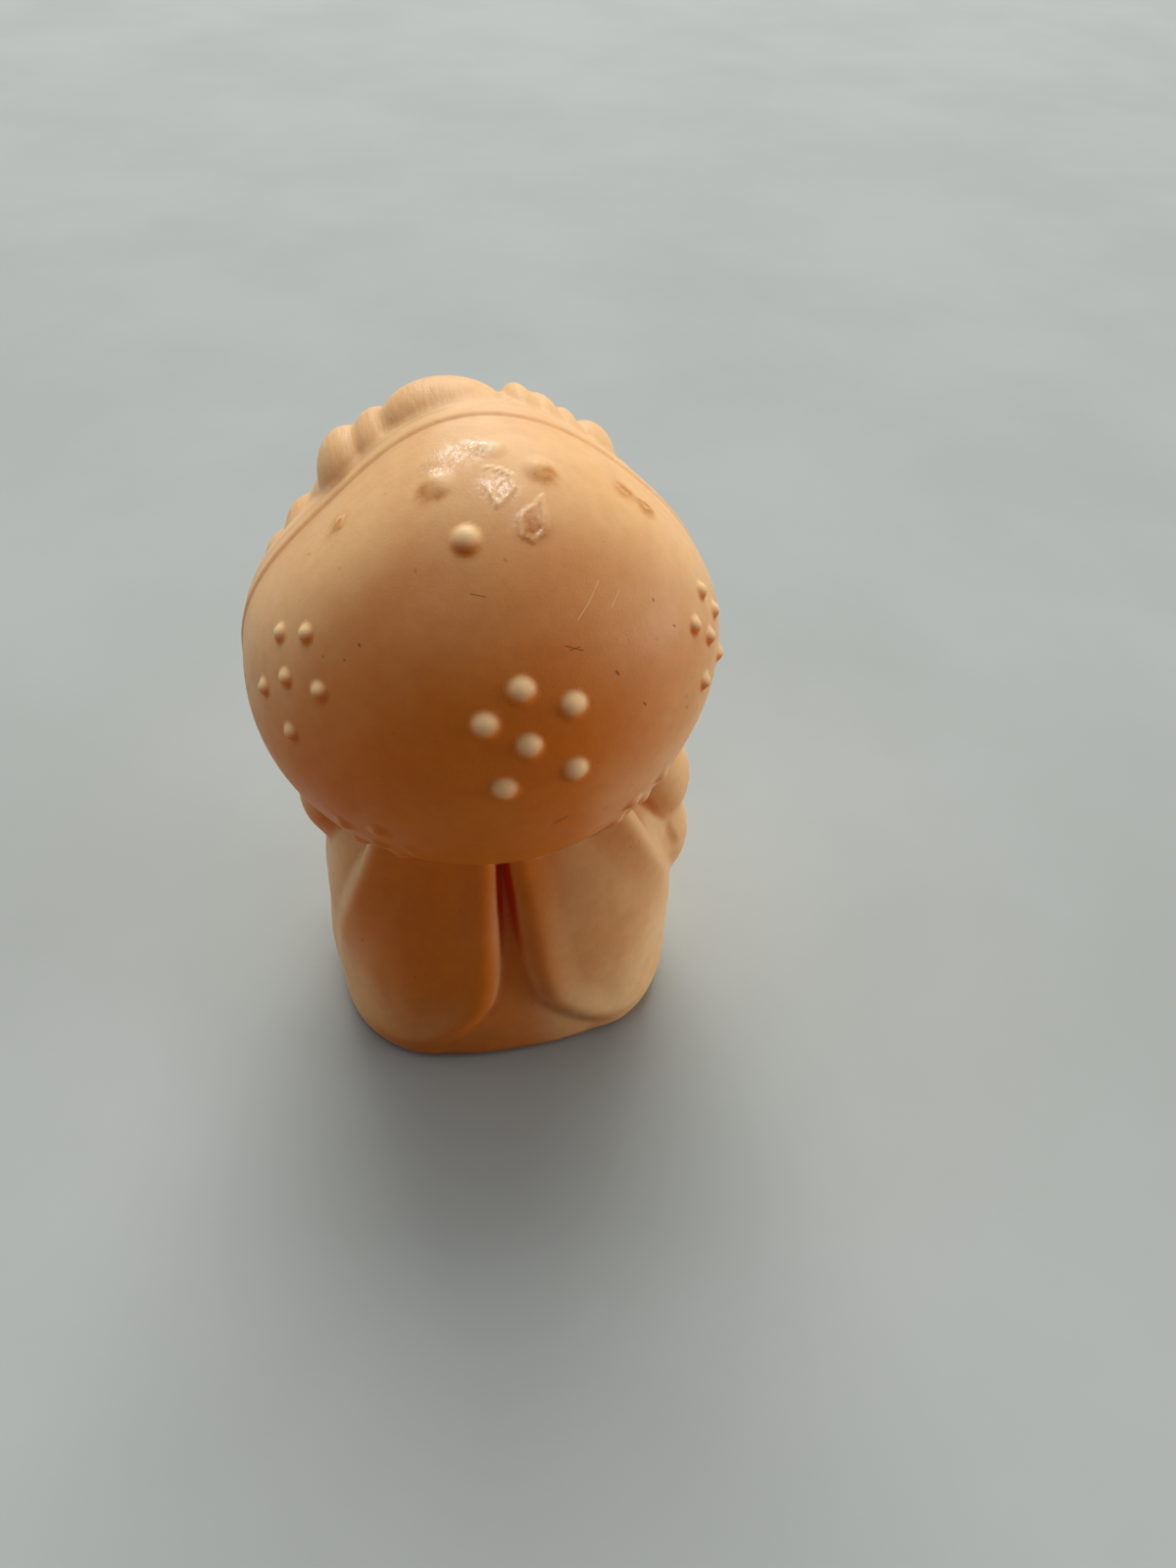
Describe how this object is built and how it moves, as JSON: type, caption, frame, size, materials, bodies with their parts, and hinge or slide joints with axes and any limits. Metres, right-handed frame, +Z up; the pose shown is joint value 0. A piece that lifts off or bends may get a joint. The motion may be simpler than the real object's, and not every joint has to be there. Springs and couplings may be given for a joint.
{
  "type": "rubber squeaky toy",
  "caption": "Hollow rubber squeeze toy shaped as a winged baby doll in a dotted bonnet, with a turning head and a reed squeaker in its base.",
  "frame": {"origin": "on the table under the middle of the neck, at the centre of the toy's footprint", "axes": "+Z up from the base to the crown, +Y the way the face looks, +X towards the toy's right side"},
  "size_m": [0.0622, 0.062, 0.095],
  "materials": {
    "skin": "satin",
    "squeaker": "satin",
    "reed": "brushed"
  },
  "bodies": {
    "torso": {"body_shell": "skin", "right_wing": "skin", "left_wing": "skin", "right_arm": "skin", "left_arm": "skin", "right_foot": "skin", "left_foot": "skin", "squeaker_cup": "squeaker", "squeaker_cap": "squeaker", "reed_block": "squeaker", "reed_wedge": "squeaker"},
    "neck": {"neck_ring": "skin"},
    "head": {"neck_plug": "skin", "bonnet": "skin", "bonnet_hem": "skin", "face": "skin", "hair_fringe": "skin"},
    "reed": {"reed": "reed"}
  },
  "joints": [
    {"name": "squeeze", "type": "slide", "parent": "torso", "child": "neck", "axis": [0, 0, -1], "range_m": [0, 0.008], "stiffness_N_per_m": 1500, "springref_m": -0.001, "deforming": ["body_shell", "right_wing", "left_wing", "right_arm", "left_arm", "right_foot", "left_foot"]},
    {"name": "head_turn", "type": "hinge", "parent": "neck", "child": "head", "pos_m": [0, 0, 0.034], "axis": [0, 0, 1], "continuous": true},
    {"name": "reed_flutter", "type": "hinge", "parent": "torso", "child": "reed", "pos_m": [0, 0, 0.0084], "axis": [1, 0, 0], "range_deg": [-4, 4], "stiffness_Nm_per_rad": 0.002}
  ]
}
